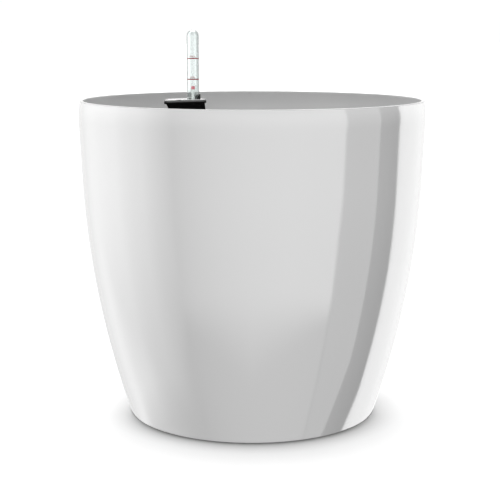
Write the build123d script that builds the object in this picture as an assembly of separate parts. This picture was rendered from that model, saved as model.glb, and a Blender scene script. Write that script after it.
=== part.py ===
from build123d import *
import os
from math import atan2, cos, degrees, radians, sin, sqrt, tan

# A 40 cm round self-watering planter, in millimetres, +Z up.
# The origin is the middle of the base, on the surface that the planter stands on.

os.makedirs("parts", exist_ok=True)

# ---- driving dimensions: outer pot ----
POT_HEIGHT = 366.0
BASE_RADIUS = 146.0
WALL = 3.8
BASE_LEAN = radians(18.4)      # the wall's lean from vertical at the floor
TOP_LEAN = radians(2.4)        # the wall's lean above the shoulder
SHOULDER_Z = 280.0             # where the curved wall becomes straight
BREAK_Z = 345.0                # where the lip starts to turn in
LIP_RADIUS = 75.0
RIM_ROUND = 0.8
FOOT_ROUND = 1.2
FOOT_WIDTH = 8.0
FLOOR_RECESS = 4.0
FLOOR_TOP = 8.0
FLOOR_CORNER = 6.0

# ---- driving dimensions: drain ----
DRAIN_RADIUS = 8.0
DRAIN_BOSS_RADIUS = 17.0
DRAIN_SEAT_Z = 12.0
SEAL_RADIUS = 12.0
SEAL_SECTION = 1.1
PLUG_FLANGE_RADIUS = 15.5

# ---- driving dimensions: separator plate and legs ----
PLATE_TOP = 87.0
PLATE_THICK = 2.5
PLATE_GAP = 1.8                # between the plate's edge and the pot's wall
PLATE_LIP = 5.0
PLATE_SKIRT = 10.0
LEG_COUNT = 6
LEG_RING = 120.0
LEG_FOOT_RADIUS = 11.0
LEG_NECK_RADIUS = 8.4
LEG_WALL = 1.7
STANDING_GAP = 0.3             # parts that stand on the pot's floor clear it by this

# ---- driving dimensions: wicks ----
WICK_COUNT = 4
WICK_WIDTH = 20.0
WICK_THICK = 2.5
WICK_RING = 70.0

# ---- driving dimensions: fill shaft, hopper and indicator ----
INDICATOR_X, INDICATOR_Y = -72.6, 90.0
SHAFT_YAW = 27.0
SHAFT_WALL = 1.8
SHAFT_BOTTOM, SHAFT_TOP = 70.0, 335.0
HOPPER_TOP = 359.0
COVER_THICK = 2.6
FIT_GAP = 0.25
TUBE_RADIUS = 7.7
TUBE_WALL = 1.0
TUBE_TOP = 445.3
TUBE_JOINT_Z = 352.0
ROD_RADIUS = 2.0
TIP_Z = 373.2                  # underside of the red tip with the reservoir empty
FLOAT_TRAVEL = 42.0

INDICATOR_ANGLE = degrees(atan2(INDICATOR_Y, INDICATOR_X))
COVER_TOP = HOPPER_TOP + COVER_THICK
PLATE_UNDERSIDE = PLATE_TOP - PLATE_THICK
SHAFT_PLACE = Location((INDICATOR_X, INDICATOR_Y, 0), (0, 0, SHAFT_YAW))
LEG_ANGLES = [INDICATOR_ANGLE - 30 + 360 / LEG_COUNT * k for k in range(LEG_COUNT)]
WICK_ANGLES = [INDICATOR_ANGLE + 45 + 360 / WICK_COUNT * k for k in range(WICK_COUNT)]


# ---- shared helpers ----

def polar(radius, angle, z=0.0):
    """A point at a radius and an angle in degrees round the pot's axis."""
    return (radius * cos(radians(angle)), radius * sin(radians(angle)), z)


def turned(radius, angle, z=0.0):
    """A location on that point whose X axis points away from the pot's axis."""
    return Location(polar(radius, angle, z), (0, 0, angle))


def ring(outer, inner, low, high):
    """A round tube about the Z axis."""
    height = high - low
    wall = Cylinder(outer, height) - Cylinder(inner, height)
    return Pos(0, 0, (low + high) / 2) * wall


def outline(corners, rounds):
    """A flat face with straight sides and a round of its own on each corner."""
    face = make_face(Polyline(*corners, close=True))
    for corner, round_radius in zip(corners, rounds):
        nearest = face.vertices().sort_by_distance((*corner, 0))[0]
        face = fillet(nearest, round_radius)
    return face


def block(face, low, high):
    """A flat outline raised between two heights."""
    return extrude(Pos(0, 0, low) * face, high - low)


def save(shape, name):
    shape.label = name
    export_step(shape, f"parts/{name}.step")


# ---- the pot's wall, as arcs that meet in tangents ----

WALL_RADIUS = SHOULDER_Z / (sin(BASE_LEAN) - sin(TOP_LEAN))
WALL_CENTRE = (BASE_RADIUS - WALL_RADIUS * cos(BASE_LEAN), WALL_RADIUS * sin(BASE_LEAN))
SHOULDER_R = WALL_CENTRE[0] + WALL_RADIUS * cos(TOP_LEAN)
BREAK_R = SHOULDER_R + (BREAK_Z - SHOULDER_Z) * tan(TOP_LEAN)
LIP_CENTRE = (BREAK_R - LIP_RADIUS * cos(TOP_LEAN), BREAK_Z + LIP_RADIUS * sin(TOP_LEAN))


def wall_point(inset, z):
    """A point of the curved wall at a height, measured inset from the outside."""
    radius = WALL_RADIUS - inset
    return (WALL_CENTRE[0] + sqrt(radius ** 2 - (z - WALL_CENTRE[1]) ** 2), z)


def lip_point(inset, z):
    """A point of the turned-in lip at a height, measured inset from the outside."""
    radius = LIP_RADIUS - inset
    return (LIP_CENTRE[0] + sqrt(radius ** 2 - (z - LIP_CENTRE[1]) ** 2), z)


def wall_side(inset, low):
    """The pot's side at an inset: curved wall, straight shoulder and lip, from low to the rim."""
    shoulder = (SHOULDER_R - inset * cos(TOP_LEAN), SHOULDER_Z + inset * sin(TOP_LEAN))
    turn = (BREAK_R - inset * cos(TOP_LEAN), BREAK_Z + inset * sin(TOP_LEAN))
    middle = (low + shoulder[1]) / 2
    lip_middle = (turn[1] + POT_HEIGHT) / 2
    return [
        ThreePointArc(wall_point(inset, low), wall_point(inset, middle), shoulder),
        Line(shoulder, turn),
        ThreePointArc(turn, lip_point(inset, lip_middle), lip_point(inset, POT_HEIGHT)),
    ]


def outer_pot():
    """The gloss shell: wall, turned-in lip, floor on a foot ring, and the drain's seat."""
    foot_inner = BASE_RADIUS - FOOT_WIDTH
    inner_low = wall_point(WALL, FLOOR_TOP)
    floor_edges = [
        Line(inner_low, (0, FLOOR_TOP)),
        Line((0, FLOOR_TOP), (0, FLOOR_RECESS)),
        Line((0, FLOOR_RECESS), (foot_inner - FLOOR_RECESS, FLOOR_RECESS)),
        Line((foot_inner - FLOOR_RECESS, FLOOR_RECESS), (foot_inner, 0)),
        Line((foot_inner, 0), (BASE_RADIUS, 0)),
    ]
    rim = Line(lip_point(0, POT_HEIGHT), lip_point(WALL, POT_HEIGHT))
    section = make_face(wall_side(0, 0) + [rim] + wall_side(WALL, FLOOR_TOP) + floor_edges)

    def corner(point):
        return section.vertices().sort_by_distance((*point, 0))[0]

    section = fillet(corner(lip_point(0, POT_HEIGHT)), RIM_ROUND)
    section = fillet(corner(lip_point(WALL, POT_HEIGHT)), RIM_ROUND)
    section = fillet(corner((BASE_RADIUS, 0)), FOOT_ROUND)
    section = fillet(corner(inner_low), FLOOR_CORNER)
    pot = revolve(Plane.XZ * section, Axis.Z)

    boss = ring(DRAIN_BOSS_RADIUS, DRAIN_RADIUS, FLOOR_TOP, DRAIN_SEAT_Z)
    pot += chamfer(boss.edges().group_by(Axis.Z)[-1].filter_by(
        lambda edge: edge.radius > DRAIN_RADIUS + 1), 1.0)
    pot -= Cylinder(DRAIN_RADIUS, 4 * FLOOR_TOP)
    for angle in LEG_ANGLES:
        pot += turned(LEG_RING, angle) * ring(14.5, 12.5, FLOOR_TOP - 0.5, FLOOR_TOP + 2)
    return pot + underside_ribs()


def underside_ribs():
    """Stiffening ribs under the floor, clear of the surface that the foot ring stands on."""
    rib_start, rib_end = 24.0, BASE_RADIUS - FOOT_WIDTH - 3
    rib_low = 1.5
    ribs = ring(26, 24, rib_low, FLOOR_RECESS + 0.5)
    ribs += ring(86, 84, rib_low, FLOOR_RECESS + 0.5)
    for k in range(12):
        length = rib_end - rib_start
        height = FLOOR_RECESS + 0.5 - rib_low
        rib = Pos((rib_start + rib_end) / 2, 0, rib_low + height / 2) * Box(length, 2, height)
        ribs += Rot(0, 0, 15 + 30 * k) * rib
    return ribs


# ---- drain ----

def drain_plug():
    """The push-in plug: a stem in the drain's bore, a flange over the seal and a grip."""
    flange_low = DRAIN_SEAT_Z + STANDING_GAP + 2 * SEAL_SECTION
    flange_high = flange_low + 3
    stem_bottom = FLOOR_RECESS + 0.5
    stem = ring(DRAIN_RADIUS - 0.08, 4.5, stem_bottom, flange_low)
    lead_in = stem.edges().group_by(Axis.Z)[0].filter_by(lambda edge: edge.radius > 6)
    stem = chamfer(lead_in, 0.8)
    flange = Pos(0, 0, (flange_low + flange_high) / 2) * Cylinder(PLUG_FLANGE_RADIUS, 3)
    flange = fillet(flange.edges().group_by(Axis.Z)[-1], 1.0)
    lip = ring(PLUG_FLANGE_RADIUS, SEAL_RADIUS + SEAL_SECTION + 0.3, flange_low - 1, flange_low)
    grip = Pos(0, 0, flange_high + 5) * Box(24, 5, 12)
    grip = fillet(grip.edges().filter_by(Axis.Y).group_by(Axis.Z)[-1], 5)
    grip = fillet(grip.edges().group_by(Axis.Z)[-1], 1)
    thumb_hole = Pos(0, 0, flange_high + 5.5) * Rot(90, 0, 0) * Cylinder(3, 20)
    return stem + flange + lip + grip - thumb_hole


def drain_seal():
    """The round rubber seal between the plug's flange and the drain's boss."""
    return Pos(0, 0, DRAIN_SEAT_Z + STANDING_GAP + SEAL_SECTION) * Torus(SEAL_RADIUS, SEAL_SECTION)


# ---- separator plate, legs and wicks ----

def slot(length, width):
    return extrude(SlotOverall(length, width), 3 * PLATE_SKIRT, both=True)


def separator_plate():
    """The floor of the soil space, with air slots, wick slots, leg sockets and the shaft's socket."""
    top_r = wall_point(WALL, PLATE_TOP)[0] - PLATE_GAP
    lip_r = wall_point(WALL, PLATE_TOP + PLATE_LIP)[0] - PLATE_GAP
    skirt_r = wall_point(WALL, PLATE_TOP - PLATE_SKIRT)[0] - PLATE_GAP
    skin = 2.2
    section = make_face(Polyline(
        (0, PLATE_TOP),
        (top_r - skin, PLATE_TOP),
        (lip_r - skin, PLATE_TOP + PLATE_LIP),
        (lip_r, PLATE_TOP + PLATE_LIP),
        (top_r, PLATE_TOP),
        (skirt_r, PLATE_TOP - PLATE_SKIRT),
        (skirt_r - skin, PLATE_TOP - PLATE_SKIRT),
        (top_r - skin, PLATE_UNDERSIDE),
        (0, PLATE_UNDERSIDE),
        close=True,
    ))
    plate = revolve(Plane.XZ * section, Axis.Z)
    rib_low = PLATE_UNDERSIDE - 6
    for rib_radius in (45, 95):
        plate += ring(rib_radius + 1, rib_radius - 1, rib_low, PLATE_UNDERSIDE + 0.5)
    for angle in LEG_ANGLES:
        inner, outer = 45, top_r - skin
        height = PLATE_UNDERSIDE + 0.5 - rib_low
        rib = Box(outer - inner, 2, height)
        plate += Rot(0, 0, angle) * Pos((inner + outer) / 2, 0, rib_low + height / 2) * rib
        socket = ring(LEG_NECK_RADIUS + 2.6, 0.01, PLATE_UNDERSIDE - 10, PLATE_UNDERSIDE + 0.5)
        plate += turned(LEG_RING, angle) * socket
    for angle in LEG_ANGLES:
        bore = Pos(0, 0, PLATE_UNDERSIDE - 10) * Cylinder(LEG_NECK_RADIUS + FIT_GAP, 20)
        plate -= turned(LEG_RING, angle) * bore
    collar = block(shaft_outline(FIT_GAP + 2), PLATE_UNDERSIDE - 4, PLATE_TOP + 12)
    plate += SHAFT_PLACE * collar
    plate -= SHAFT_PLACE * block(shaft_outline(FIT_GAP), 0, POT_HEIGHT)
    for count, radius, length, offset in ((40, 145, 14, 4.5), (24, 84, 11, 7.5), (12, 56, 10, 15)):
        for k in range(count):
            angle = LEG_ANGLES[0] + offset + 360 / count * k
            plate -= turned(radius, angle, PLATE_TOP) * slot(length, 3)
    for k in range(8):
        plate -= turned(28, 45 * k, PLATE_TOP) * slot(12, 3)
    for angle in WICK_ANGLES:
        opening = Rot(0, 0, 90) * slot(WICK_WIDTH + 3, WICK_THICK + 2.5)
        plate -= turned(WICK_RING, angle, PLATE_TOP) * opening
    return plate


def support_leg():
    """A hollow leg about its own axis: a neck for the plate's socket and a flared, notched foot."""
    bottom = FLOOR_TOP + STANDING_GAP
    shoulder = PLATE_UNDERSIDE - 10.2
    section = make_face(Polyline(
        (LEG_NECK_RADIUS - LEG_WALL, PLATE_UNDERSIDE - 0.1),
        (LEG_NECK_RADIUS, PLATE_UNDERSIDE - 0.1),
        (LEG_NECK_RADIUS, shoulder),
        (LEG_NECK_RADIUS + 1.4, shoulder),
        (LEG_FOOT_RADIUS - 1, bottom + 12),
        (LEG_FOOT_RADIUS, bottom),
        (LEG_FOOT_RADIUS - LEG_WALL, bottom),
        (LEG_NECK_RADIUS - LEG_WALL + 0.4, shoulder),
        close=True,
    ))
    leg = revolve(Plane.XZ * section, Axis.Z)
    for k in range(2):
        leg -= Rot(0, 0, 90 * k) * Pos(0, 0, bottom) * Box(40, 5, 12)
    return leg


def wick():
    """A fleece strip in the plane X-Z: along the plate, down its slot, and out along the pot's floor."""
    half = WICK_THICK / 2
    path = FilletPolyline(
        (66, 0, PLATE_TOP + half + 0.3),
        (0, 0, PLATE_TOP + half + 0.3),
        (0, 0, FLOOR_TOP + half + 1.0),
        (-28, 0, FLOOR_TOP + half + 1.0),
        radius=3,
    )
    strip = Plane(origin=path @ 0, z_dir=path % 0, x_dir=(0, 1, 0)) * Rectangle(WICK_WIDTH, WICK_THICK)
    return sweep(strip, path)


# ---- fill shaft and hopper, drawn about the indicator's axis, chord along X ----

def shaft_outline(grow=0.0):
    """The shaft's rounded outline, grown outwards by a margin."""
    left, right, front, back = -28 - grow, 11 + grow, -14 - grow, 13 + grow
    corners = [(left, front), (right, front), (right, back), (left, back)]
    return outline(corners, [5 + grow] * 4)


def mouth_outline(inset=0.0):
    """The hopper's outline at its mouth: a long front, a slanted left end and a short back."""
    corners = [
        (-48 + 1.7 * inset, -20 + inset),
        (10 - 0.6 * inset, -20 + inset),
        (12 - 0.6 * inset, 14 - inset),
        (-30 + 0.7 * inset, 14 - inset),
    ]
    rounds = [4, 5, 7, 9]
    return outline(corners, [round_radius - 0.5 * inset for round_radius in rounds])


def throat_outline(grow=0.0):
    """The hopper's outline where it meets the shaft, with the mouth's four corners."""
    left, right, front, back = -28 - grow, 11 + grow, -14 - grow, 13 + grow
    corners = [(left, front), (right, front), (right, back), (left, back)]
    return outline(corners, [4, 4.5, 5, 6])


def fill_shaft():
    """The two-channel shaft: water on the left, the level indicator on the right."""
    shaft = block(shaft_outline(), SHAFT_BOTTOM, SHAFT_TOP)
    hollow = block(shaft_outline(-SHAFT_WALL), SHAFT_BOTTOM, SHAFT_TOP)
    shaft -= hollow
    divider = Pos(-9.3, -0.5, (SHAFT_BOTTOM + SHAFT_TOP) / 2) * Box(1.4, 26, SHAFT_TOP - SHAFT_BOTTOM)
    shaft += divider & hollow
    stop_low = PLATE_TOP + 12
    stop = block(shaft_outline(1.6), stop_low, stop_low + 2.5)
    shaft += stop - block(shaft_outline(-0.5), stop_low, stop_low + 2.5)
    for x in (-19, 0):
        shaft -= Pos(x, 0, SHAFT_BOTTOM) * Box(8, 60, 14)
    return SHAFT_PLACE * shaft


def filler_hopper():
    """The funnel on the shaft's top: a sleeve, a flared body and a thin lip."""
    body_low, body_high = SHAFT_TOP - 1, HOPPER_TOP - 2
    sleeve = block(throat_outline(FIT_GAP + 1.6), SHAFT_TOP - 14, body_low + 1)
    sleeve -= block(shaft_outline(FIT_GAP), SHAFT_TOP - 14, SHAFT_TOP)
    funnel = loft([
        Pos(0, 0, body_low) * throat_outline(FIT_GAP + 1.6),
        Pos(0, 0, body_high) * mouth_outline(2.2),
    ], ruled=True)
    hollow = loft([
        Pos(0, 0, body_low) * throat_outline(-SHAFT_WALL),
        Pos(0, 0, HOPPER_TOP + 0.1) * mouth_outline(3.8),
    ], ruled=True)
    lip = block(mouth_outline(), body_high - 0.05, HOPPER_TOP)
    lip = fillet(lip.edges().group_by(Axis.Z)[0], 0.6)
    hopper = sleeve + funnel + lip - hollow
    hopper -= block(shaft_outline(FIT_GAP), SHAFT_TOP - 20, SHAFT_TOP + 0.1)
    return SHAFT_PLACE * hopper


# ---- hopper cover, flap and hinge ----

FLAP_RIGHT = -12.5
HINGE_V = 9.0
HINGE_Z = COVER_TOP - 1.3
BARREL_RADIUS = 1.25
BARREL = (-26.2, -17.2)
PIN_REACH = 3.0                # how far the pin runs into the cover at each side
PIN_RADIUS = 0.6
FLAP_THICK = 1.5


def flap_outline(inset=0.0):
    """The flap's outline, drawn in by a margin."""
    corners = [
        (-43.5 + 1.5 * inset, -16.5 + inset),
        (FLAP_RIGHT - inset, -16.5 + inset),
        (FLAP_RIGHT - inset, 6.5 - inset),
        (-31.4 + 0.7 * inset, 6.5 - inset),
    ]
    return outline(corners, [3, 2.5, 2.5, 4])


def hinge_rod(radius, start, end):
    """A round bar along the hinge's axis."""
    bar = Rot(0, 90, 0) * Cylinder(radius, end - start)
    return Pos((start + end) / 2, HINGE_V, HINGE_Z) * bar


def hopper_cover():
    """The plate on the hopper: the flap's recess and mouth, the hinge's well and the tube's collar."""
    cover = block(mouth_outline(), HOPPER_TOP, COVER_TOP)
    cover = fillet(cover.edges().group_by(Axis.Z)[-1], 1.2)
    tongue = block(mouth_outline(5.3), HOPPER_TOP - 2.5, HOPPER_TOP + 0.1)
    cover += tongue - block(mouth_outline(6.7), HOPPER_TOP - 2.5, HOPPER_TOP + 0.1)
    cover -= block(flap_outline(), COVER_TOP - FLAP_THICK, COVER_TOP + 1)
    cover -= block(flap_outline(2.0), HOPPER_TOP - 1, COVER_TOP)
    finger = Pos(-27, -17, COVER_TOP + 4.2) * Sphere(6)
    cover -= finger
    well_low, well_high = BARREL[0] - 0.3, BARREL[1] + 0.3
    well_back = HINGE_V + BARREL_RADIUS + 0.3
    well = Pos((well_low + well_high) / 2, (6 + well_back) / 2, HOPPER_TOP)
    cover -= well * Box(well_high - well_low, well_back - 6, 12)
    cover -= hinge_rod(PIN_RADIUS + 0.02, well_low - PIN_REACH, well_high + PIN_REACH)
    cover += indicator_collar_shape()
    cover -= Pos(0, 0, HOPPER_TOP) * Cylinder(TUBE_RADIUS + 0.08, 40)
    return SHAFT_PLACE * cover


def indicator_collar_shape():
    """The tube's collar, cut at a slant so that it stands up on its right side only."""
    low, high, outer = HOPPER_TOP, COVER_TOP + 5.4, TUBE_RADIUS + 1.3
    collar = Pos(0, 0, (low + high) / 2) * Cylinder(outer, high - low)
    rise = high - COVER_TOP
    start, run = 2.2, outer - 2.2
    cutter = make_face(Polyline(
        (-outer - 1, COVER_TOP - 0.2),
        (start, COVER_TOP - 0.2),
        (start + run, COVER_TOP + rise),
        (start + run, high + 5),
        (-outer - 1, high + 5),
        close=True,
    ))
    return collar - extrude(Plane.XZ * cutter, 30, both=True)


def filler_flap():
    """The flap over the mouth, flush with the cover, with an arm to its hinge barrel."""
    low, high = COVER_TOP - FLAP_THICK + 0.3, COVER_TOP + 0.1
    plate = block(flap_outline(0.35), low, high)
    plate = fillet(plate.edges().group_by(Axis.Z)[-1], 0.5)
    arm_start, arm_end = BARREL
    arm_width = HINGE_V - 5.0
    arm = Pos((arm_start + arm_end) / 2, 5.0 + arm_width / 2, (low + high) / 2)
    flap = plate + arm * Box(arm_end - arm_start, arm_width, high - low)
    flap += hinge_rod(BARREL_RADIUS - 0.05, arm_start, arm_end)
    flap -= hinge_rod(PIN_RADIUS + 0.06, arm_start - 1, arm_end + 1)
    return SHAFT_PLACE * flap


def flap_hinge_pin():
    start, end = BARREL[0] - 0.3 - PIN_REACH, BARREL[1] + 0.3 + PIN_REACH
    return SHAFT_PLACE * hinge_rod(PIN_RADIUS, start + 0.2, end - 0.2)


# ---- level indicator, drawn about its own axis ----

def indicator_sight_tube():
    """The clear upper tube: domed top, thin wall and a spigot for the lower tube."""
    inner = TUBE_RADIUS - TUBE_WALL
    spigot = inner - 0.05
    dome_z = TUBE_TOP - TUBE_RADIUS
    body = Pos(0, 0, (TUBE_JOINT_Z + dome_z) / 2) * Cylinder(TUBE_RADIUS, dome_z - TUBE_JOINT_Z)
    body += Pos(0, 0, dome_z) * Sphere(TUBE_RADIUS)
    body += Pos(0, 0, TUBE_JOINT_Z - 6) * Cylinder(spigot, 12)
    bore_low = TUBE_JOINT_Z - 12
    bore = Pos(0, 0, (bore_low + dome_z) / 2) * Cylinder(spigot - TUBE_WALL, dome_z - bore_low)
    bore += Pos(0, 0, (TUBE_JOINT_Z + 4 + dome_z) / 2) * Cylinder(inner, dome_z - TUBE_JOINT_Z - 4)
    bore += Pos(0, 0, dome_z) * Sphere(inner)
    return body - bore


def indicator_lower_tube():
    """The black tube that reaches down to the reservoir, with inlet slots at its foot."""
    low = FLOOR_TOP + 4
    tube = ring(TUBE_RADIUS, TUBE_RADIUS - TUBE_WALL, low, TUBE_JOINT_Z)
    for k in range(2):
        for level in (24, 42):
            inlet = Rot(0, 0, 90 * k) * Pos(0, 0, level) * Box(40, 2.4, 12)
            tube -= inlet
    return tube


def indicator_foot():
    """The slotted cap in the tube's lower end."""
    low = FLOOR_TOP + 0.3
    cap = ring(TUBE_RADIUS, 3, low, FLOOR_TOP + 4)
    cap += ring(TUBE_RADIUS - TUBE_WALL - 0.05, 3, FLOOR_TOP + 4, FLOOR_TOP + 8)
    for k in range(2):
        cap -= Rot(0, 0, 45 + 90 * k) * Pos(0, 0, low) * Box(40, 2, 3)
    return cap


FLOAT_BOTTOM = FLOOR_TOP + 8.3
FLOAT_LENGTH = 34.0
FLOAT_RADIUS = 6.0
GUIDE_LOW = FLOAT_BOTTOM + FLOAT_LENGTH + FLOAT_TRAVEL + 0.7


def rod_guide():
    """The bush that keeps the rod central and stops the float at the top of its travel."""
    guide = ring(TUBE_RADIUS - TUBE_WALL - 0.05, ROD_RADIUS + 0.09, GUIDE_LOW, GUIDE_LOW + 5)
    for k in range(3):
        guide -= Rot(0, 0, 120 * k) * Pos(5.4, 0, GUIDE_LOW) * Cylinder(1.2, 20)
    return guide


def float_body():
    """The foam float, with a socket for the rod."""
    low, high = FLOAT_BOTTOM, FLOAT_BOTTOM + FLOAT_LENGTH
    body = Pos(0, 0, (low + high) / 2) * Cylinder(FLOAT_RADIUS, high - low)
    body = fillet(body.edges().filter_by(GeomType.CIRCLE), 1.5)
    return body - Pos(0, 0, high) * Cylinder(ROD_RADIUS + 0.02, 30)


def float_rod():
    """The hollow white rod between the float and its tip."""
    return ring(ROD_RADIUS, ROD_RADIUS - 0.6, FLOAT_BOTTOM + FLOAT_LENGTH - 15, TIP_Z)


def float_tip():
    """The red tip that shows the water level."""
    tip = Pos(0, 0, TIP_Z + 1.8) * Cylinder(ROD_RADIUS + 0.2, 3.6)
    tip = fillet(tip.edges().group_by(Axis.Z)[-1], 0.25)
    return tip + Pos(0, 0, TIP_Z - 2) * Cylinder(ROD_RADIUS - 0.65, 4)


# ---- write every sub-part ----

def main():
    save(outer_pot(), "outer_pot")
    save(drain_plug(), "drain_plug")
    save(drain_seal(), "drain_seal")
    save(separator_plate(), "separator_plate")
    for number, angle in enumerate(LEG_ANGLES, 1):
        save(turned(LEG_RING, angle) * support_leg(), f"support_leg_{number}")
    for number, angle in enumerate(WICK_ANGLES, 1):
        save(turned(WICK_RING, angle) * wick(), f"wick_{number}")
    save(fill_shaft(), "fill_shaft")
    save(filler_hopper(), "filler_hopper")
    save(hopper_cover(), "hopper_cover")
    save(filler_flap(), "filler_flap")
    save(flap_hinge_pin(), "flap_hinge_pin")
    for make in (indicator_sight_tube, indicator_lower_tube, indicator_foot, rod_guide,
                 float_body, float_rod, float_tip):
        save(Pos(INDICATOR_X, INDICATOR_Y, 0) * make(), make.__name__)


main()
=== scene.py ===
import bpy
from math import atan2, cos, degrees, pi, radians, sin, sqrt, tan
from mathutils import Matrix, Vector, noise


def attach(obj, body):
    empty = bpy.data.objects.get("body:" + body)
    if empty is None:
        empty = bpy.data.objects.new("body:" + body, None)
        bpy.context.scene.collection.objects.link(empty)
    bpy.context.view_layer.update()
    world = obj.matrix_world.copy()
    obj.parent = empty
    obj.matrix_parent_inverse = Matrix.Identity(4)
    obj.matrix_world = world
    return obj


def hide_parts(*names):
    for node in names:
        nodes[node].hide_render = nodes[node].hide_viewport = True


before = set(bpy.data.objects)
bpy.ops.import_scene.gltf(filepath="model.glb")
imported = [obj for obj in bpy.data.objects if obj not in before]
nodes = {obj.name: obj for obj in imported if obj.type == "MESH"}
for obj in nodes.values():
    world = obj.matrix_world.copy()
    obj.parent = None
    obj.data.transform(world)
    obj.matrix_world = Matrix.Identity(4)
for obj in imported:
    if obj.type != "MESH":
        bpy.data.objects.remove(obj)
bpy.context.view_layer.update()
MM = 0.001

# ---- the pot's wall, in millimetres: curved wall, straight shoulder, turned-in lip ----
POT_HEIGHT, BASE_RADIUS, WALL = 366.0, 146.0, 3.8
BASE_LEAN, TOP_LEAN = radians(18.4), radians(2.4)
SHOULDER_Z, BREAK_Z, LIP_RADIUS = 280.0, 345.0, 75.0
RIM_ROUND, FOOT_ROUND = 0.8, 1.2
FOOT_TANGENT = 0.7213               # tangent of half the angle between base and wall
FOOT_WIDTH, FLOOR_RECESS, FLOOR_TOP, FLOOR_CORNER = 8.0, 4.0, 8.0, 6.0
DRAIN_RADIUS, BOSS_RADIUS, BOSS_TOP = 8.0, 17.0, 12.0
POT_SEGMENTS = 384

# ---- the insert, the level tube and the wicks, in millimetres ----
INDICATOR_X, INDICATOR_Y = -72.6, 90.0
INDICATOR_ANGLE = degrees(atan2(INDICATOR_Y, INDICATOR_X))
LEG_COUNT, LEG_RING = 6, 120.0
PLATE_TOP = 87.0
TUBE_RADIUS, TUBE_WALL, TUBE_TOP, TUBE_JOINT_Z = 7.7, 1.0, 445.3, 352.0
TUBE_SEGMENTS = 96
MAX_Z, MIN_Z = 410.5, 385.3
INK_GAP, INK_THICK, RING_HEIGHT, WORD_SIZE = 0.015, 0.05, 0.95, 3.4
COLLAR_BASE_Z, COLLAR_THICK = 361.8, 1.5
WICK_COUNT, WICK_RING, WICK_BEND = 4, 70.0, 3.0
WICK_ON_PLATE, WICK_ON_FLOOR = 66.0, 28.0
WICK_HALF_THICK, WICK_SECTION_WIDTH = 1.15, 19.4    # the ragged edges add up to 0.35 on each side

WALL_RADIUS = SHOULDER_Z / (sin(BASE_LEAN) - sin(TOP_LEAN))
WALL_CENTRE = (BASE_RADIUS - WALL_RADIUS * cos(BASE_LEAN), WALL_RADIUS * sin(BASE_LEAN))
SHOULDER_R = WALL_CENTRE[0] + WALL_RADIUS * cos(TOP_LEAN)
BREAK_R = SHOULDER_R + (BREAK_Z - SHOULDER_Z) * tan(TOP_LEAN)
LIP_CENTRE = (BREAK_R - LIP_RADIUS * cos(TOP_LEAN), BREAK_Z + LIP_RADIUS * sin(TOP_LEAN))


# ---- mesh helpers ----

def new_object(name, vertices, faces, smooth_angle=35):
    """A mesh object from points in millimetres, smooth except over its sharp edges."""
    mesh = bpy.data.meshes.new(name)
    mesh.from_pydata([tuple(c * MM for c in v) for v in vertices], [], faces)
    mesh.validate()
    mesh.polygons.foreach_set("use_smooth", [True] * len(mesh.polygons))
    mesh.set_sharp_from_angle(angle=radians(smooth_angle))
    obj = bpy.data.objects.new(name, mesh)
    bpy.context.scene.collection.objects.link(obj)
    return obj


def lathe_data(loop, segments, closed=True, place=None):
    """Vertices and faces of a profile of (radius, height) points turned round the Z axis."""
    vertices, faces, rings = [], [], []
    for radius, height in loop:
        if radius < 1e-6:
            rings.append([len(vertices)])
            vertices.append((0.0, 0.0, height))
            continue
        rings.append(list(range(len(vertices), len(vertices) + segments)))
        for k in range(segments):
            angle = 2 * pi * k / segments
            vertices.append((radius * cos(angle), radius * sin(angle), height))
    pairs = list(zip(rings, rings[1:]))
    if closed:
        pairs.append((rings[-1], rings[0]))
    for low, high in pairs:
        for k in range(segments):
            j = (k + 1) % segments
            if len(low) == 1 and len(high) == 1:
                continue
            if len(low) == 1:
                faces.append((low[0], high[j], high[k]))
            elif len(high) == 1:
                faces.append((low[k], low[j], high[0]))
            else:
                faces.append((low[k], low[j], high[j], high[k]))
    if place is not None:
        vertices = [tuple(place @ Vector(v)) for v in vertices]
    return vertices, faces


def joined(parts):
    """One list of vertices and faces from several."""
    vertices, faces = [], []
    for more_vertices, more_faces in parts:
        start = len(vertices)
        vertices += more_vertices
        faces += [tuple(start + i for i in face) for face in more_faces]
    return vertices, faces


def arc(centre, radius, start, end, steps):
    """Points on a circular arc between two angles in degrees."""
    return [(centre[0] + radius * cos(radians(start + (end - start) * k / steps)),
             centre[1] + radius * sin(radians(start + (end - start) * k / steps)))
            for k in range(steps + 1)]


def turned(radius, angle):
    """A place on the floor at a radius and an angle in degrees, with its X axis outward."""
    around = radians(angle)
    middle = (radius * cos(around), radius * sin(around), 0.0)
    return Matrix.Translation(middle) @ Matrix.Rotation(around, 4, "Z")


# ---- materials ----

def material(name, colour, roughness, **sockets):
    """A Principled material, its node tree, its shader and its texture coordinates."""
    made = bpy.data.materials.new(name)
    made.use_nodes = True
    tree = made.node_tree
    shader = tree.nodes["Principled BSDF"]
    shader.inputs["Base Color"].default_value = (*colour, 1)
    shader.inputs["Roughness"].default_value = roughness
    for socket, value in sockets.items():
        shader.inputs[socket.replace("_", " ")].default_value = value
    coordinates = tree.nodes.new("ShaderNodeTexCoord")
    return made, tree, shader, coordinates


def noise_node(tree, coordinates, scale, detail, stretch=None):
    """A noise in object space, stretched along an axis where its scale is given as less than 1."""
    texture = tree.nodes.new("ShaderNodeTexNoise")
    texture.inputs["Scale"].default_value = scale
    texture.inputs["Detail"].default_value = detail
    if stretch is None:
        tree.links.new(coordinates.outputs["Object"], texture.inputs["Vector"])
    else:
        mapping = tree.nodes.new("ShaderNodeMapping")
        mapping.inputs["Scale"].default_value = stretch
        tree.links.new(coordinates.outputs["Object"], mapping.inputs["Vector"])
        tree.links.new(mapping.outputs["Vector"], texture.inputs["Vector"])
    return texture


def feed(tree, socket, value):
    """Set a socket to a number, or link another node's output to it."""
    if isinstance(value, (int, float)):
        socket.default_value = value
    else:
        tree.links.new(value, socket)


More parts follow.
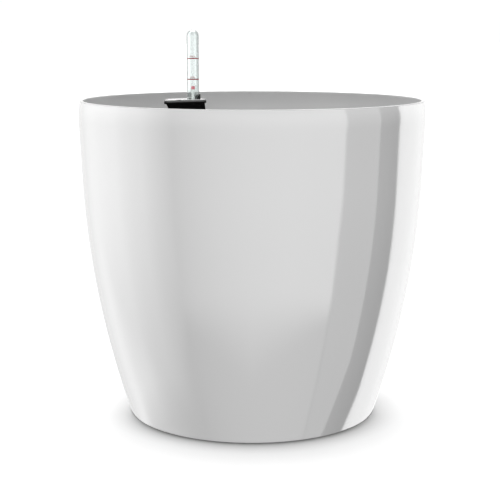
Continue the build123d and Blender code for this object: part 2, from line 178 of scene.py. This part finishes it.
def math_node(tree, operation, *values):
    node = tree.nodes.new("ShaderNodeMath")
    node.operation = operation
    for socket, value in zip(node.inputs, values):
        feed(tree, socket, value)
    return node.outputs[0]


def remap(tree, source, low, high, low_in=0.3, high_in=0.7, smooth=False):
    """A value taken from one range to another and held at its ends. The usual range suits a noise."""
    spread = tree.nodes.new("ShaderNodeMapRange")
    if smooth:
        spread.interpolation_type = "SMOOTHSTEP"
    feed(tree, spread.inputs["From Min"], low_in)
    feed(tree, spread.inputs["From Max"], high_in)
    feed(tree, spread.inputs["To Min"], low)
    feed(tree, spread.inputs["To Max"], high)
    feed(tree, spread.inputs["Value"], source)
    return spread.outputs["Result"]


def ramp_node(tree, source, stops):
    """A grey level that follows a value, from (value, level) stops."""
    ramp = tree.nodes.new("ShaderNodeValToRGB")
    elements = ramp.color_ramp.elements
    while len(elements) < len(stops):
        elements.new(0.5)
    for element, (position, level) in zip(elements, stops):
        element.position = position
        element.color = (level, level, level, 1)
    tree.links.new(source, ramp.inputs["Fac"])
    return ramp.outputs["Color"]


def tint(tree, source, first, second):
    """A colour that drifts between two others with a noise value."""
    ramp = tree.nodes.new("ShaderNodeValToRGB")
    ramp.color_ramp.elements[0].position = 0.3
    ramp.color_ramp.elements[1].position = 0.7
    ramp.color_ramp.elements[0].color = (*first, 1)
    ramp.color_ramp.elements[1].color = (*second, 1)
    tree.links.new(source, ramp.inputs["Fac"])
    return ramp.outputs["Color"]


def bump(tree, shader, height, strength, distance):
    """A bump on the shader's normal; the distance is in metres."""
    node = tree.nodes.new("ShaderNodeBump")
    node.inputs["Strength"].default_value = strength
    node.inputs["Distance"].default_value = distance
    tree.links.new(height, node.inputs["Height"])
    tree.links.new(node.outputs["Normal"], shader.inputs["Normal"])


def gloss_shell():
    """Sprayed gloss plastic: a faint orange peel under the lacquer and a slow drift in tone."""
    made, tree, shader, at = material(
        "shell_gloss", (0.78, 0.78, 0.78), 0.09, Coat_Weight=1.0, Coat_Roughness=0.02, Coat_IOR=1.5)
    drift = noise_node(tree, at, 4.0, 2.0)
    tree.links.new(tint(tree, drift.outputs["Fac"], (0.775, 0.775, 0.775), (0.79, 0.79, 0.79)),
                   shader.inputs["Base Color"])
    haze = noise_node(tree, at, 55.0, 4.0)
    tree.links.new(remap(tree, haze.outputs["Fac"], 0.07, 0.11), shader.inputs["Roughness"])
    peel = noise_node(tree, at, 420.0, 1.0)
    bump(tree, shader, peel.outputs["Fac"], 0.05, 0.00008)
    return made


def satin_shell(name, level):
    """The shell's unlacquered inside and rim: a fine moulded grain and faint flow marks."""
    made, tree, shader, at = material(name, (level, level, level), 0.42)
    flow = noise_node(tree, at, 9.0, 5.0, (1.0, 1.0, 0.25))
    low, high = (level - 0.02,) * 3, (level + 0.02,) * 3
    tree.links.new(tint(tree, flow.outputs["Fac"], low, high), shader.inputs["Base Color"])
    tree.links.new(remap(tree, flow.outputs["Fac"], 0.36, 0.5), shader.inputs["Roughness"])
    grain = noise_node(tree, at, 900.0, 2.0)
    bump(tree, shader, grain.outputs["Fac"], 0.12, 0.0001)
    return made


def black_plastic(name, roughness, grain_strength, level=0.012, shine=0.5, lacquer=0.0):
    """Black moulded polypropylene: spark-eroded grain with lightly rubbed, duller patches."""
    made, tree, shader, at = material(name, (level, level, level), roughness,
                                      Specular_IOR_Level=shine, Coat_Weight=lacquer,
                                      Coat_Roughness=0.05)
    rub = noise_node(tree, at, 38.0, 5.0)
    low, high = (level,) * 3, (level * 1.9, level * 1.9, level * 1.95)
    tree.links.new(tint(tree, rub.outputs["Fac"], low, high), shader.inputs["Base Color"])
    tree.links.new(remap(tree, rub.outputs["Fac"], roughness - 0.06, roughness + 0.1),
                   shader.inputs["Roughness"])
    grain = noise_node(tree, at, 1300.0, 2.0)
    bump(tree, shader, grain.outputs["Fac"], grain_strength, 0.00012)
    return made


def clear_plastic():
    """Clear extruded tube with a green cast and faint draw lines along its length."""
    made, tree, shader, at = material(
        "tube_clear", (0.905, 0.945, 0.937), 0.03, Transmission_Weight=1.0, IOR=1.46)
    draw = noise_node(tree, at, 900.0, 2.0, (1.0, 1.0, 0.02))
    tree.links.new(remap(tree, draw.outputs["Fac"], 0.02, 0.06), shader.inputs["Roughness"])
    bump(tree, shader, draw.outputs["Fac"], 0.05, 0.00004)
    return made


def felt():
    """Needled white fleece: matted fibres, cloudy tone and a soft sheen."""
    made, tree, shader, at = material(
        "wick_felt", (0.78, 0.77, 0.72), 0.95, Sheen_Weight=0.5, Sheen_Roughness=0.5)
    cloud = noise_node(tree, at, 160.0, 6.0)
    tree.links.new(tint(tree, cloud.outputs["Fac"], (0.66, 0.65, 0.60), (0.84, 0.83, 0.79)),
                   shader.inputs["Base Color"])
    fibre = noise_node(tree, at, 1800.0, 6.0, (1.0, 0.35, 0.6))
    bump(tree, shader, fibre.outputs["Fac"], 0.7, 0.0005)
    return made


def rubber():
    """Black seal rubber with a patchy bloom."""
    made, tree, shader, at = material("seal_rubber", (0.02, 0.02, 0.02), 0.6)
    bloom = noise_node(tree, at, 300.0, 4.0)
    tree.links.new(tint(tree, bloom.outputs["Fac"], (0.016, 0.016, 0.016), (0.04, 0.04, 0.042)),
                   shader.inputs["Base Color"])
    bump(tree, shader, bloom.outputs["Fac"], 0.2, 0.0001)
    return made


def steel_wire():
    """Drawn steel wire with faint draw marks."""
    made, tree, shader, at = material("pin_steel", (0.55, 0.55, 0.56), 0.3, Metallic=1.0)
    draw = noise_node(tree, at, 1500.0, 2.0, (0.1, 1.0, 1.0))
    tree.links.new(remap(tree, draw.outputs["Fac"], 0.22, 0.4), shader.inputs["Roughness"])
    return made


def foam():
    """Closed-cell foam: small cells cut open at the surface."""
    made, tree, shader, at = material("float_foam", (0.82, 0.82, 0.79), 0.8)
    cells = tree.nodes.new("ShaderNodeTexVoronoi")
    cells.inputs["Scale"].default_value = 1400.0
    tree.links.new(at.outputs["Object"], cells.inputs["Vector"])
    tree.links.new(tint(tree, cells.outputs["Distance"], (0.86, 0.86, 0.84), (0.72, 0.72, 0.69)),
                   shader.inputs["Base Color"])
    bump(tree, shader, cells.outputs["Distance"], 0.5, 0.0002)
    return made


def smooth_plastic(name, first, second, roughness):
    """Fine moulded plastic or ink whose colour drifts between two others."""
    made, tree, shader, at = material(name, first, roughness)
    drift = noise_node(tree, at, 60.0, 3.0)
    tree.links.new(tint(tree, drift.outputs["Fac"], first, second), shader.inputs["Base Color"])
    tree.links.new(remap(tree, drift.outputs["Fac"], roughness - 0.05, roughness + 0.08),
                   shader.inputs["Roughness"])
    grain = noise_node(tree, at, 1500.0, 2.0)
    bump(tree, shader, grain.outputs["Fac"], 0.08, 0.00006)
    return made


GLOSS = gloss_shell()
SATIN = satin_shell("shell_satin", 0.715)
# A darker copy of the inside's satin for the rim's round and land: painted shade on the rim.
RIM_PAINTED_SHADE = satin_shell("shell_rim_painted_shade", 0.6)
BLACK = black_plastic("insert_black", 0.42, 0.35)
BLACK_DEEP = black_plastic("hopper_black", 0.3, 0.2, level=0.001, shine=0.05)
BLACK_GLOSS = black_plastic("flap_black", 0.2, 0.03, level=0.006, shine=0.9, lacquer=1.0)
CLEAR = clear_plastic()
FELT = felt()
RED = smooth_plastic("tip_red", (0.72, 0.17, 0.21), (0.78, 0.20, 0.25), 0.3)
RED_INK = smooth_plastic("scale_ink", (0.27, 0.01, 0.015), (0.34, 0.015, 0.02), 0.45)
WHITE_ROD = smooth_plastic("rod_white", (0.86, 0.86, 0.85), (0.9, 0.9, 0.89), 0.35)


# ---- the pot ----

def wall_point(inset, z):
    """The point of the curved wall at a height, inside the outer face by the inset."""
    radius = WALL_RADIUS - inset
    return (WALL_CENTRE[0] + sqrt(radius ** 2 - (z - WALL_CENTRE[1]) ** 2), z)


def lip_point(inset, z):
    """The point of the turned-in lip at a height."""
    radius = LIP_RADIUS - inset
    return (LIP_CENTRE[0] + sqrt(radius ** 2 - (z - LIP_CENTRE[1]) ** 2), z)


def wall_side(inset, low, top):
    """The wall's points from low to top at an inset, close together where it turns."""
    turn_z = BREAK_Z + inset * sin(TOP_LEAN)
    shoulder = (SHOULDER_R - inset * cos(TOP_LEAN), SHOULDER_Z + inset * sin(TOP_LEAN))
    points = [wall_point(inset, low + (shoulder[1] - low) * k / 60) for k in range(60)]
    points.append(shoulder)
    turn = (BREAK_R - inset * cos(TOP_LEAN), turn_z)
    points += [(shoulder[0] + (turn[0] - shoulder[0]) * k / 8,
                shoulder[1] + (turn[1] - shoulder[1]) * k / 8) for k in range(1, 8)]
    points += [lip_point(inset, turn_z + (top - turn_z) * k / 12) for k in range(13)]
    return points


def build_pot():
    """The shell as one turned mesh, with its foot ring, drain boss, leg rings and ribs."""
    foot_top, rim_z = 1.1, POT_HEIGHT - RIM_ROUND
    outer = wall_side(0, foot_top, rim_z)
    inner = wall_side(WALL, FLOOR_TOP + FLOOR_CORNER, rim_z)
    outer_rim, inner_rim, corner = outer[-1][0], inner[-1][0], inner[0][0]
    rim = arc((outer_rim - RIM_ROUND, rim_z), RIM_ROUND, 0, 90, 6)[1:]
    rim += arc((inner_rim + RIM_ROUND, rim_z), RIM_ROUND, 90, 180, 6)[:-1]
    floor = [(corner - FLOOR_CORNER + FLOOR_CORNER * cos(radians(a)),
              FLOOR_TOP + FLOOR_CORNER + FLOOR_CORNER * sin(radians(a)))
             for a in (-12, -24, -36, -48, -60, -72, -90)]
    floor += [(120, FLOOR_TOP), (60, FLOOR_TOP),
              (BOSS_RADIUS + 1.0, FLOOR_TOP), (BOSS_RADIUS + 0.3, FLOOR_TOP + 0.3),
              (BOSS_RADIUS, FLOOR_TOP + 1.0), (BOSS_RADIUS, BOSS_TOP - 1),
              (BOSS_RADIUS - 1.0, BOSS_TOP), (DRAIN_RADIUS + 0.6, BOSS_TOP),
              (DRAIN_RADIUS, BOSS_TOP - 0.6), (DRAIN_RADIUS, FLOOR_RECESS)]
    foot_inner = BASE_RADIUS - FOOT_WIDTH
    foot = [(60, FLOOR_RECESS), (120, FLOOR_RECESS), (foot_inner - 4.6, FLOOR_RECESS),
            (foot_inner - 3.6, FLOOR_RECESS - 0.5), (foot_inner - 0.4, 0.4), (foot_inner + 0.5, 0)]
    foot += arc((BASE_RADIUS - FOOT_TANGENT * FOOT_ROUND, FOOT_ROUND), FOOT_ROUND, -90, -22, 6)
    loop = outer + rim + inner[::-1] + floor + foot
    parts = [lathe_data(loop, POT_SEGMENTS)]
    parts += [leg_ring_data(INDICATOR_ANGLE + (k - 0.5) * 360 / LEG_COUNT) for k in range(LEG_COUNT)]
    parts += [round_rib_data(25.0), round_rib_data(85.0)]
    parts += [bar_data((24.5, -1, 1.5), (foot_inner - 3, 1, FLOOR_RECESS + 0.5), 0.3,
                       Matrix.Rotation(radians(15 + 30 * k), 4, "Z")) for k in range(12)]
    vertices, faces = joined(parts)
    pot = new_object("planter_shell", vertices, faces, 40)
    for finish in (GLOSS, SATIN, RIM_PAINTED_SHADE):
        pot.data.materials.append(finish)
    # Faces are numbered ring by ring: the outer wall, the rim's land, the inside, the underside. The
    # rim's outer round and land take a darker copy of the inside's satin, a painted shade on the rim.
    shaded_rim_start, shaded_rim_end = len(outer) - 1, len(outer) + len(rim) // 2 - 1
    for polygon in pot.data.polygons:
        ring = polygon.index // POT_SEGMENTS
        if ring > shaded_rim_end:
            polygon.material_index = 1
        elif ring >= shaded_rim_start:
            polygon.material_index = 2
    return pot


def leg_ring_data(angle):
    """A low ring on the pot's floor that keeps a leg's foot in place."""
    inner, outer, top = 12.5, 14.5, FLOOR_TOP + 2
    ring = [(inner, FLOOR_TOP - 0.5), (outer, FLOOR_TOP - 0.5), (outer, top - 0.4),
            (outer - 0.4, top), (inner + 0.4, top), (inner, top - 0.4)]
    return lathe_data(ring, 48, place=turned(LEG_RING, angle))


def round_rib_data(middle):
    """A round rib under the pot's floor."""
    return lathe_data([(middle - 1, FLOOR_RECESS + 0.5), (middle - 1, 1.7), (middle - 0.7, 1.5),
                       (middle + 0.7, 1.5), (middle + 1, 1.7), (middle + 1, FLOOR_RECESS + 0.5)], 128)


def bar_data(low, high, edge, place):
    """A straight bar with chamfered lower edges, from one corner to the other."""
    (x0, y0, z0), (x1, y1, z1) = low, high
    section = [(y0, z1), (y0, z0 + edge), (y0 + edge, z0),
               (y1 - edge, z0), (y1, z0 + edge), (y1, z1)]
    vertices = [tuple(place @ Vector((x, y, z))) for x in (x0, x1) for y, z in section]
    count = len(section)
    faces = [tuple(range(count)), tuple(range(2 * count - 1, count - 1, -1))]
    faces += [(k, count + k, count + (k + 1) % count, (k + 1) % count) for k in range(count)]
    return vertices, faces


pot = build_pot()
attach(pot, "pot")
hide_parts("outer_pot")


# ---- the clear level tube and its printed marks ----

def on_indicator(loop):
    """A profile turned round the level tube's axis."""
    return lathe_data(loop, TUBE_SEGMENTS, place=Matrix.Translation((INDICATOR_X, INDICATOR_Y, 0)))


def build_sight_tube():
    """The domed tube, and the spigot that goes down into the black tube."""
    inner = TUBE_RADIUS - TUBE_WALL
    dome_z = TUBE_TOP - TUBE_RADIUS
    loop = [(TUBE_RADIUS, TUBE_JOINT_Z)]
    loop += [(TUBE_RADIUS, TUBE_JOINT_Z + (dome_z - TUBE_JOINT_Z) * k / 10) for k in range(1, 10)]
    loop += arc((0, dome_z), TUBE_RADIUS, 0, 90, 16)[:-1] + [(0, TUBE_TOP)]
    loop += [(0, dome_z + inner)] + arc((0, dome_z), inner, 90, 0, 16)[1:]
    loop += [(inner, dome_z - (dome_z - TUBE_JOINT_Z - 4) * k / 10) for k in range(1, 11)]
    spigot = inner - 0.05
    loop += [(spigot - TUBE_WALL, TUBE_JOINT_Z + 2.6), (spigot - TUBE_WALL, TUBE_JOINT_Z - 12),
             (spigot - 0.3, TUBE_JOINT_Z - 12), (spigot, TUBE_JOINT_Z - 11.6), (spigot, TUBE_JOINT_Z)]
    tube = new_object("sight_tube", *on_indicator(loop), 40)
    tube.data.materials.append(CLEAR)
    return tube


def build_mark(name, z, word):
    """A printed ring round the tube with a generic word above it, as thin raised ink."""
    skin, bevel = TUBE_RADIUS + INK_GAP, 0.03
    low, high = z - RING_HEIGHT / 2, z + RING_HEIGHT / 2
    vertices, faces = on_indicator([(skin, low), (skin + INK_THICK, low + bevel),
                                    (skin + INK_THICK, high - bevel), (skin, high)])
    text = bpy.data.curves.new(name + "_text", "FONT")
    text.body = word
    text.size = WORD_SIZE
    text.align_x = "CENTER"
    text.extrude = 0.02
    text.resolution_u = 4
    holder = bpy.data.objects.new(name + "_text", text)
    bpy.context.scene.collection.objects.link(holder)
    bpy.context.view_layer.update()
    depsgraph = bpy.context.evaluated_depsgraph_get()
    flat = bpy.data.meshes.new_from_object(holder.evaluated_get(depsgraph))
    start, lift = len(vertices), 0.7
    for vertex in flat.vertices:
        around = vertex.co.x / skin - pi / 2
        radius = skin + 0.03 + vertex.co.z
        vertices.append((INDICATOR_X + radius * cos(around), INDICATOR_Y + radius * sin(around),
                         high + lift + vertex.co.y))
    faces += [tuple(start + i for i in polygon.vertices) for polygon in flat.polygons]
    bpy.data.objects.remove(holder)
    bpy.data.curves.remove(text)
    bpy.data.meshes.remove(flat)
    mark = new_object(name, vertices, faces, 40)
    mark.data.materials.append(RED_INK)
    return mark


tube = build_sight_tube()
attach(tube, "indicator")
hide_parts("indicator_sight_tube")
for name, z, word in (("scale_mark_max", MAX_Z, "MAX"), ("scale_mark_min", MIN_Z, "MIN")):
    mark = build_mark(name, z, word)
    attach(mark, "indicator")


# ---- felt wicks ----

def wick_path():
    """The strip's middle line, as (outward, height) points from the plate to its end on the floor."""
    bend, bends = WICK_BEND, (15, 30, 45, 60, 75)
    top, bottom = PLATE_TOP + 1.55, FLOOR_TOP + 2.25
    drop = top - bottom - 2 * bend
    path = [(WICK_ON_PLATE - k * (WICK_ON_PLATE - bend) / 26, top) for k in range(27)]
    path += [(bend - bend * sin(radians(a)), top - bend + bend * cos(radians(a))) for a in bends]
    path += [(0.0, top - bend - drop * k / 30) for k in range(31)]
    path += [(-bend + bend * cos(radians(a)), bottom + bend - bend * sin(radians(a))) for a in bends]
    path += [(-bend - k * (WICK_ON_FLOOR - bend) / 10, bottom) for k in range(11)]
    return path


def build_wick(number, angle):
    """A fleece strip: it lies on the plate, drops through its slot and trails on the pot's floor."""
    path, across, place = wick_path(), 12, turned(WICK_RING, angle)
    lumps, ragged_edge, ragged_end = 0.22, 0.35, 0.75
    vertices, faces, rows = [], [], []
    for i, (x, z) in enumerate(path):
        before, after = path[max(i - 1, 0)], path[min(i + 1, len(path) - 1)]
        run = Vector((after[0] - before[0], after[1] - before[1])).normalized()
        side = Vector((-run.y, run.x))
        row = []
        for face_side in (1, -1):
            for j in range(across + 1)[::face_side]:
                y = WICK_SECTION_WIDTH * (j / across - 0.5)
                edge = min(j, across - j)
                swell = WICK_HALF_THICK * (0.55 if edge == 0 else 0.9 if edge == 1 else 1.0)
                lump = lumps * noise.noise(Vector((i * 0.55 + 17 * number, j * 0.6, 3.0 * face_side)))
                off = face_side * (swell + lump - 0.1)
                ragged = ragged_edge * noise.noise(Vector((i * 1.3, 9.0 * number, j)))
                reach = ragged_end if i in (0, len(path) - 1) else 0.0
                ends = reach * noise.noise(Vector((j * 0.9, 5.0 * number, i)))
                row.append(len(vertices))
                vertices.append(tuple(place @ Vector((
                    x + side.x * off + run.x * ends,
                    y + (ragged if edge == 0 else 0.0),
                    z + side.y * off + run.y * ends))))
        rows.append(row)
    for row, next_row in zip(rows, rows[1:]):
        for k in range(len(row)):
            j = (k + 1) % len(row)
            faces.append((row[k], row[j], next_row[j], next_row[k]))
    faces += [tuple(reversed(rows[0])), tuple(rows[-1])]
    wick = new_object(f"wick_strip_{number}", vertices, faces, 70)
    wick.data.materials.append(FELT)
    return wick


for number in range(1, WICK_COUNT + 1):
    wick = build_wick(number, INDICATOR_ANGLE + (number - 0.5) * 360 / WICK_COUNT)
    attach(wick, "insert")
    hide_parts(f"wick_{number}")


# ---- finish the CAD nodes ----

def dress(name, finish):
    """Give a CAD node one material in place of its own."""
    node = nodes[name]
    node.data.materials.clear()
    node.data.materials.append(finish)
    return node


for name in ("separator_plate", "fill_shaft", "indicator_lower_tube", "indicator_foot", "rod_guide",
             "drain_plug"):
    dress(name, BLACK)
for number in range(1, LEG_COUNT + 1):
    dress(f"support_leg_{number}", BLACK)
dress("filler_hopper", BLACK_DEEP)
dress("filler_flap", BLACK_GLOSS)
dress("drain_seal", rubber())
dress("flap_hinge_pin", steel_wire())
dress("float_body", foam())
dress("float_rod", WHITE_ROD)
dress("float_tip", RED)

# The cover's top is glossy, and its collar beside the tube is as dull as the hopper.
cover = dress("hopper_cover", BLACK_GLOSS)
cover.data.materials.append(BLACK_DEEP)
tube_axis = Vector((INDICATOR_X, INDICATOR_Y))
for polygon in cover.data.polygons:
    centre = cover.matrix_world @ polygon.center / MM
    if centre.z > COLLAR_BASE_Z and (centre.xy - tube_axis).length < TUBE_RADIUS + COLLAR_THICK:
        polygon.material_index = 1


# ---- studio: floor, light and camera ----

# The studio's brightness all round, as (azimuth in degrees, level) stops. Azimuth 0 is the camera's
# side and 90 is its right. First, what the gloss wall mirrors: a strong softbox at the left, a broad
# one in front, and a dark flag with a bright edge at the right.
MIRRORED = [(-180, 1.3), (-160, 1.0), (-145, 1.25), (-128, 2.0), (-100, 3.15), (-76, 2.9), (-62, 1.9),
            (-52, 1.2), (-44, 1.5), (-35, 1.8), (-19, 2.2), (0, 2.5), (25, 2.75), (60, 2.8),
            (60.8, 0.95), (80, 0.95), (90, 1.0), (91, 0.0), (112, 0.0), (113, 2.4), (119, 2.4),
            (126, 2.1), (135, 1.8), (150, 1.4), (160, 1.1), (180, 1.3)]
MIRRORED_STRENGTH = 4.0
# The share of it that goes on below the front softbox's lower edge, then where the low left is dimmed.
GOES_DOWN = [(-180, 0.75), (-150, 1.0), (-130, 1.0), (-117, 0.85), (-101, 0.72), (-86, 0.58),
             (-72, 0.42), (-60, 0.3), (-50, 0.0), (61, 0.0), (62, 1.0), (180, 1.0)]
LOW_LEFT = [(-135, 0), (-122, 1), (-66, 1), (-46, 0)]
# The soft light on everything, above and below the horizon, and by height from straight down to up.
SOFT_UPPER = [(-180, 0.35), (-125, 1.0), (-85, 1.15), (-20, 1.2), (20, 1.2), (60, 0.95), (110, 0.85),
              (140, 0.6), (180, 0.35)]
SOFT_LOWER = [(-180, 0.35), (-120, 0.5), (-60, 0.97), (-20, 1.52), (20, 1.52), (60, 0.95),
              (110, 0.3), (180, 0.35)]
SOFT_BY_HEIGHT = [(0.0, 0.40), (0.42, 0.50), (0.5, 0.80), (0.66, 0.80), (0.8, 0.50), (1.0, 0.30)]
SOFT_STRENGTH = 1.5
# What rays find once they have gone through the clear tube.
THROUGH_TUBE = [(-180, 0.92), (-179, 0.92), (-178.4, 0.72), (-176, 0.72), (-175, 0.8), (-173.8, 1.1),
                (-172, 1.2), (-163, 1.2), (-158, 0.45), (-120, 0.45), (-60, 2.6), (60, 2.6),
                (110, 0.3), (140, 0.3), (155, 0.6), (168, 0.66), (176, 0.66), (178.6, 0.76),
                (179.5, 0.9), (180, 0.92)]
THROUGH_STRENGTH = 2.6
BACKDROP_STRENGTH = 1.02

# The paper's tone by distance from the pot's middle, in metres: a painted contact shadow, darkest
# round the foot, and a little darker again far out.
PAINTED_SHADOW_RING = [(0.146, 0.26), (0.149, 0.44), (0.152, 0.62), (0.156, 0.76), (0.162, 0.86),
              (0.17, 0.93), (0.18, 0.97), (0.9, 0.66)]
PAPER_TONE = 0.99
PAPER_DEPTH, CARD_DEPTH = 0.05, 0.6       # millimetres under the pot's base


def flat_disc(name, radii, depth):
    """A disc at a depth under the pot's base, in rings."""
    return new_object(name, *lathe_data([(radius, -depth) for radius in radii], 96, closed=False))


def build_floor():
    """Pale paper with a contact shadow painted in a ring round the pot's foot, except behind it."""
    floor = flat_disc("studio_floor", (0, 300, 1200, 40000), PAPER_DEPTH)
    paper, tree, shader, at = material("studio_paper_painted_shadow", (0.9, 0.9, 0.9), 0.9, Specular_IOR_Level=0.0)
    away = tree.nodes.new("ShaderNodeVectorMath")
    away.operation = "LENGTH"
    tree.links.new(at.outputs["Object"], away.inputs[0])
    split = tree.nodes.new("ShaderNodeSeparateXYZ")
    tree.links.new(at.outputs["Object"], split.inputs[0])
    # Painted contact shadow: the ring darkens the paper round the foot and fades out towards the sides
    # and back.
    behind = remap(tree, split.outputs["Y"], 0.0, 1.0, -0.12, 0.0, smooth=True)
    painted_shadow_tone = ramp_node(tree, away.outputs["Value"], PAINTED_SHADOW_RING)
    missing = math_node(tree, "SUBTRACT", PAPER_TONE, painted_shadow_tone)
    tree.links.new(math_node(tree, "MULTIPLY_ADD", missing, behind, painted_shadow_tone),
                   shader.inputs["Base Color"])
    floor.data.materials.append(paper)
    floor.visible_glossy = False
    floor.visible_diffuse = False
    floor.visible_transmission = False


def round_ramp(tree, turn, levels, scale=1.0):
    """A level all round the studio, from (azimuth in degrees, level) stops.

    A ramp goes up to 1 only, so the levels are divided by their layer's strength.
    """
    return ramp_node(tree, turn, [(0.5 + angle / 360, level / scale) for angle, level in levels])


def mirrored_room(tree, height, azimuth, turn):
    """The room in the gloss wall. Height is the direction's Z, from -1 to 1; turn is 0 to 1 round."""
    # The flag leans more and more below a height. Near the horizon the front softbox's right edge
    # leans one way and the flag's right edge the other. Azimuths are in radians, leans in turns.
    lean_below, flag_side, right_side, lean = -0.55, 1.3, 0.6, 0.125
    depth = math_node(tree, "MAXIMUM", math_node(tree, "SUBTRACT", lean_below, height), 0.0)
    on_flag = math_node(tree, "GREATER_THAN", azimuth, flag_side)
    low_lean = math_node(tree, "MULTIPLY", on_flag, lean)
    near_horizon = remap(tree, height, 0.0, 1.0, -0.32, -0.12)
    edge_lean = remap(tree, azimuth, -2.6 / 360, 2.5 / 360, radians(59), radians(112))
    at_right = math_node(tree, "GREATER_THAN", azimuth, right_side)
    high_lean = math_node(tree, "MULTIPLY", at_right, edge_lean)
    shift = math_node(tree, "ADD", math_node(tree, "MULTIPLY", depth, low_lean),
                      math_node(tree, "MULTIPLY", near_horizon, high_lean))
    slanted = math_node(tree, "ADD", turn, shift)
    mirrored = round_ramp(tree, slanted, MIRRORED, MIRRORED_STRENGTH)

    # The front softbox ends softly below. Its lower edge rises to the sides up to a limit, and the
    # soft zone widens at the left.
    goes_down = round_ramp(tree, turn, GOES_DOWN)
    slope, middle, limit, upper_end, left_widening = 0.2, -0.74, -0.48, 0.46, 0.32
    rising = math_node(tree, "MULTIPLY_ADD", math_node(tree, "ABSOLUTE", azimuth), slope, middle)
    left = remap(tree, azimuth, 0.0, 1.0, -0.9, -1.15)
    widening = math_node(tree, "MULTIPLY", left, left_widening)
    low_edge = math_node(tree, "SUBTRACT", math_node(tree, "MINIMUM", rising, limit), widening)
    high_edge = math_node(tree, "SUBTRACT", widening, upper_end)
    below_box = 0.42
    fade = remap(tree, height, below_box, 1.0, low_edge, high_edge, smooth=True)
    reach = math_node(tree, "MAXIMUM", goes_down, fade)

    # The left softbox is weaker low down, from a height that rises to the left.
    tilt, dimming = -0.12, 0.42
    tilted = math_node(tree, "SUBTRACT", height, math_node(tree, "MULTIPLY", azimuth, tilt))
    sunk = remap(tree, tilted, 0.0, dimming, -0.775, -0.865)
    low_left = round_ramp(tree, turn, LOW_LEFT)
    kept = math_node(tree, "SUBTRACT", 1.0, math_node(tree, "MULTIPLY", sunk, low_left))
    reach = math_node(tree, "MULTIPLY", reach, kept)

    ceiling = ramp_node(tree, math_node(tree, "MAXIMUM", height, 0.0),
                        [(0.0, 1.0), (0.2, 1.0), (0.6, 0.3), (1.0, 0.25)])
    return math_node(tree, "MULTIPLY", math_node(tree, "MULTIPLY", mirrored, reach), ceiling)


def soft_light(tree, height, turn):
    """The light that falls on everything: bright in front, dimmer behind, overhead and below."""
    by_height = ramp_node(tree, math_node(tree, "MULTIPLY_ADD", height, 0.5, 0.5), SOFT_BY_HEIGHT)
    above = math_node(tree, "GREATER_THAN", height, 0.0)
    below = math_node(tree, "SUBTRACT", 1.0, above)
    upper = math_node(tree, "MULTIPLY", above, round_ramp(tree, turn, SOFT_UPPER, SOFT_STRENGTH))
    lower = math_node(tree, "MULTIPLY", below, round_ramp(tree, turn, SOFT_LOWER, SOFT_STRENGTH))
    return math_node(tree, "MULTIPLY", by_height, math_node(tree, "ADD", upper, lower))


def studio_world():
    """The studio as light from all round, in four layers for four kinds of ray.

    The camera sees plain white, glossy rays the painted room, rays through the clear tube a band of
    light and dark, and all others a soft light.
    """
    world = bpy.data.worlds.new("studio")
    world.use_nodes = True
    tree = world.node_tree
    tree.nodes.clear()
    at = tree.nodes.new("ShaderNodeTexCoord")
    split = tree.nodes.new("ShaderNodeSeparateXYZ")
    tree.links.new(at.outputs["Generated"], split.inputs[0])
    height = split.outputs["Z"]
    toward_camera = math_node(tree, "MULTIPLY", split.outputs["Y"], -1.0)
    azimuth = math_node(tree, "ARCTAN2", split.outputs["X"], toward_camera)
    turn = math_node(tree, "MULTIPLY_ADD", azimuth, 1 / (2 * pi), 0.5)

    def layer(colour, strength):
        background = tree.nodes.new("ShaderNodeBackground")
        background.inputs["Strength"].default_value = strength
        if colour is None:
            background.inputs["Color"].default_value = (1, 1, 1, 1)
        else:
            tree.links.new(colour, background.inputs["Color"])
        return background.outputs[0]

    path = tree.nodes.new("ShaderNodeLightPath")
    through_tube = round_ramp(tree, turn, THROUGH_TUBE, THROUGH_STRENGTH)
    shown = layer(soft_light(tree, height, turn), SOFT_STRENGTH)
    for kind, other in (
            ("Is Glossy Ray", layer(mirrored_room(tree, height, azimuth, turn), MIRRORED_STRENGTH)),
            ("Is Transmission Ray", layer(through_tube, THROUGH_STRENGTH)),
            ("Is Camera Ray", layer(None, BACKDROP_STRENGTH))):
        mix = tree.nodes.new("ShaderNodeMixShader")
        tree.links.new(path.outputs[kind], mix.inputs[0])
        tree.links.new(shown, mix.inputs[1])
        tree.links.new(other, mix.inputs[2])
        shown = mix.outputs[0]
    output = tree.nodes.new("ShaderNodeOutputWorld")
    tree.links.new(shown, output.inputs["Surface"])
    return world


def sun_light(name, toward, spread, strength):
    """An even light from a direction, spread over an angle in degrees like a large softbox."""
    lamp = bpy.data.lights.new(name, "SUN")
    lamp.angle = radians(spread)
    lamp.energy = strength
    holder = bpy.data.objects.new(name, lamp)
    holder.rotation_euler = Vector(toward).to_track_quat("Z", "Y").to_euler()
    bpy.context.scene.collection.objects.link(holder)


def build_contact_card():
    """A dark disc just under the pot, unseen by the camera: it keeps light from below off the foot."""
    card = flat_disc("studio_contact_card", (0, 80, BASE_RADIUS + 1), CARD_DEPTH)
    black = material("studio_black", (0.02, 0.02, 0.02), 0.9, Specular_IOR_Level=0.0)[0]
    card.data.materials.append(black)
    card.visible_camera = False
    card.visible_shadow = False


def build_camera():
    """A long lens from in front and a little above, tilted down at the pot."""
    lens = bpy.data.cameras.new("camera")
    lens.lens = 87.93
    lens.sensor_width = 36.0
    lens.shift_x = -0.00433
    lens.clip_end = 200.0
    camera = bpy.data.objects.new("camera", lens)
    camera.location = (0.0, -1.42225, 0.44393)
    camera.rotation_euler = (radians(90 - 10.181), 0, 0)
    bpy.context.scene.collection.objects.link(camera)
    return camera


build_floor()
build_contact_card()
scene = bpy.context.scene
scene.world = studio_world()
sun_light("overhead", toward=(0.0, 0.25, 1.0), spread=70.0, strength=3.75)
scene.view_settings.view_transform = "Standard"
scene.view_settings.look = "None"
scene.camera = build_camera()
